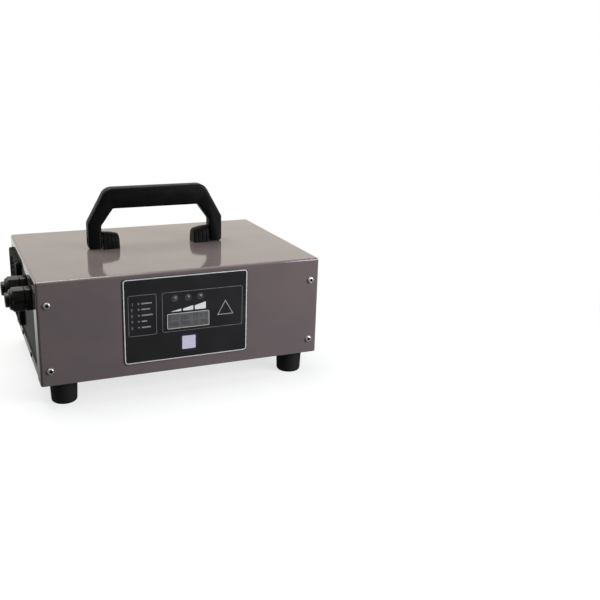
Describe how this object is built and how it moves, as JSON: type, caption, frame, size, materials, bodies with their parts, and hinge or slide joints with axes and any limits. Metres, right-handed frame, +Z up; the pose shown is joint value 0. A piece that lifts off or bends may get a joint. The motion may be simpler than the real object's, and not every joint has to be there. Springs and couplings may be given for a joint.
{
  "type": "golf cart charger",
  "caption": "Bench-top battery charger in a folded steel case, with a fold-down carrying handle, control panel, cable glands, cooling fan and rubber feet.",
  "frame": {"origin": "on the floor, in the middle of the whole charger's outline seen from above, glands and screw heads included", "axes": "+X along the case towards the vented end, +Y from the control panel to the back, +Z up"},
  "size_m": [0.3474, 0.2324, 0.2125],
  "materials": {
    "taupe_paint": "satin taupe powder coat on folded steel sheet",
    "dark_paint": "dark grey satin paint on folded steel sheet",
    "zinc_steel": "bright zinc-plated steel",
    "black_steel": "blackened steel",
    "black_rubber": "moulded black rubber",
    "black_nylon": "moulded black nylon",
    "panel_film": "printed black polyester film",
    "display_glass": "grey liquid-crystal display",
    "lamp_plastic": "clear-lens indicator lamp, unlit",
    "circuit_board": "green solder mask on glass-fibre board",
    "bare_aluminium": "plain extruded aluminium",
    "ferrite": "sintered grey ferrite",
    "copper_winding": "enamelled copper wire",
    "sleeve_blue": "shrink-sleeved can",
    "terminal_green": "moulded green plastic"
  },
  "bodies": {
    "case": {"base": "taupe_paint", "capacitor_1": "sleeve_blue", "capacitor_2": "sleeve_blue", "control_panel": "panel_film", "cover": "taupe_paint", "cover_screw_1": "zinc_steel", "cover_screw_2": "zinc_steel", "cover_screw_3": "zinc_steel", "cover_screw_4": "zinc_steel", "cover_screw_5": "zinc_steel", "cover_screw_6": "zinc_steel", "cover_screw_7": "zinc_steel", "cover_screw_8": "zinc_steel", "display": "display_glass", "display_board": "circuit_board", "fan_frame": "black_nylon", "fan_guard": "black_nylon", "fan_screw_1": "black_steel", "fan_screw_2": "black_steel", "fan_screw_3": "black_steel", "fan_screw_4": "black_steel", "flange_screw_1": "black_steel", "flange_screw_2": "black_steel", "flange_screw_3": "black_steel", "flange_screw_4": "black_steel", "foot_1": "black_rubber", "foot_2": "black_rubber", "foot_3": "black_rubber", "foot_4": "black_rubber", "foot_screw_1": "zinc_steel", "foot_screw_2": "zinc_steel", "foot_screw_3": "zinc_steel", "foot_screw_4": "zinc_steel", "gland_body_front": "black_nylon", "gland_body_rear": "black_nylon", "gland_locknut_front": "black_nylon", "gland_locknut_rear": "black_nylon", "gland_nut_front": "black_nylon", "gland_nut_rear": "black_nylon", "gland_seal_front": "black_rubber", "gland_seal_rear": "black_rubber", "handle_block_left": "black_nylon", "handle_block_right": "black_nylon", "handle_block_screw_left": "zinc_steel", "handle_block_screw_right": "zinc_steel", "handle_pin_left": "zinc_steel", "handle_pin_right": "zinc_steel", "heatsink": "bare_aluminium", "left_end_plate": "dark_paint", "main_board": "circuit_board", "output_choke": "copper_winding", "right_end_plate": "dark_paint", "status_lamp_1": "lamp_plastic", "status_lamp_2": "lamp_plastic", "status_lamp_3": "lamp_plastic", "terminal_block": "terminal_green", "transformer_core": "ferrite", "transformer_winding": "copper_winding"},
    "carrying_handle": {"handle": "black_nylon"},
    "fan": {"fan_rotor": "black_nylon"}
  },
  "joints": [
    {"name": "handle_fold", "type": "hinge", "parent": "case", "child": "carrying_handle", "pos_m": [0.01275, 0.01, 0.151], "axis": [-1, 0, 0], "range_deg": [0, 90]},
    {"name": "fan_spin", "type": "hinge", "parent": "case", "child": "fan", "pos_m": [-0.13125, 0.062, 0.0885], "axis": [1, 0, 0], "continuous": true}
  ]
}
